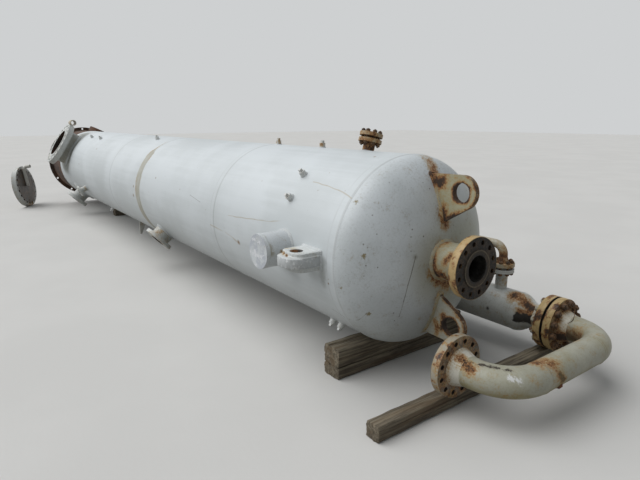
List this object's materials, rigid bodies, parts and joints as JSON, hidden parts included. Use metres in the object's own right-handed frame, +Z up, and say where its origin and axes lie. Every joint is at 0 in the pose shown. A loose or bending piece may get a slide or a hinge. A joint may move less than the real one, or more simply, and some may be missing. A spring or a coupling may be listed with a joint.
{
  "type": "glycol contactor tower",
  "caption": "Tall pressure tower with domed heads, skirt, flanged nozzles, manway and side heat exchanger, lying on timbers.",
  "frame": {"origin": "centre of the gas outlet's raised face, at the tower's top end", "axes": "+X along the tower's axis out of the gas outlet, +Z up as the tower lies, -Y the side that the picture shows"},
  "size_m": [10.2055, 2.7059, 1.596],
  "materials": {
    "shell_paint": "weathered bluish white-grey paint with rust runs",
    "head_paint": "weathered grey paint with dark specks",
    "cream_paint": "cream paint with orange-brown rust",
    "skirt_rust": "dark rusty brown",
    "flange_rust": "peach and brown rusty paint on a dark face",
    "bend_paint": "off-white paint with rust patches",
    "steel_trim": "brown rusty steel",
    "gasket_grey": "dark grey sheet",
    "weathered_timber": "weathered grey-brown timber"
  },
  "bodies": {
    "root": {"base_ring": "skirt_rust", "bend_crossover": "bend_paint", "bend_elbows": "bend_paint", "bend_fixed_flange": "flange_rust", "bend_open_flange": "flange_rust", "bend_timber": "weathered_timber", "bottom_head": "head_paint", "davit_arm": "steel_trim", "davit_socket": "cream_paint", "drain_nozzle": "flange_rust", "exchanger_brackets": "bend_paint", "exchanger_branches": "flange_rust", "exchanger_lower_flange": "flange_rust", "exchanger_reducers": "bend_paint", "exchanger_shell": "bend_paint", "exchanger_upper_flange": "flange_rust", "foot_timbers": "weathered_timber", "gas_inlet_nozzle": "cream_paint", "gas_outlet_nozzle": "cream_paint", "gaskets": "gasket_grey", "glycol_line": "bend_paint", "glycol_line_flange": "flange_rust", "head_timbers": "weathered_timber", "inlet_pad": "shell_paint", "lower_lifting_lug": "cream_paint", "manway_cover": "cream_paint", "manway_nozzle": "cream_paint", "middle_nozzle": "cream_paint", "plugged_couplings": "steel_trim", "shell_course_bottom": "shell_paint", "shell_course_second": "shell_paint", "shell_course_third": "shell_paint", "shell_course_top": "shell_paint", "side_lugs": "cream_paint", "skirt": "skirt_rust", "skirt_collar": "skirt_rust", "support_clip": "cream_paint", "top_head": "head_paint", "trunnions": "cream_paint", "upper_lifting_lug": "cream_paint", "vent_blind": "steel_trim", "vent_nozzle": "steel_trim"}
  },
  "joints": []
}
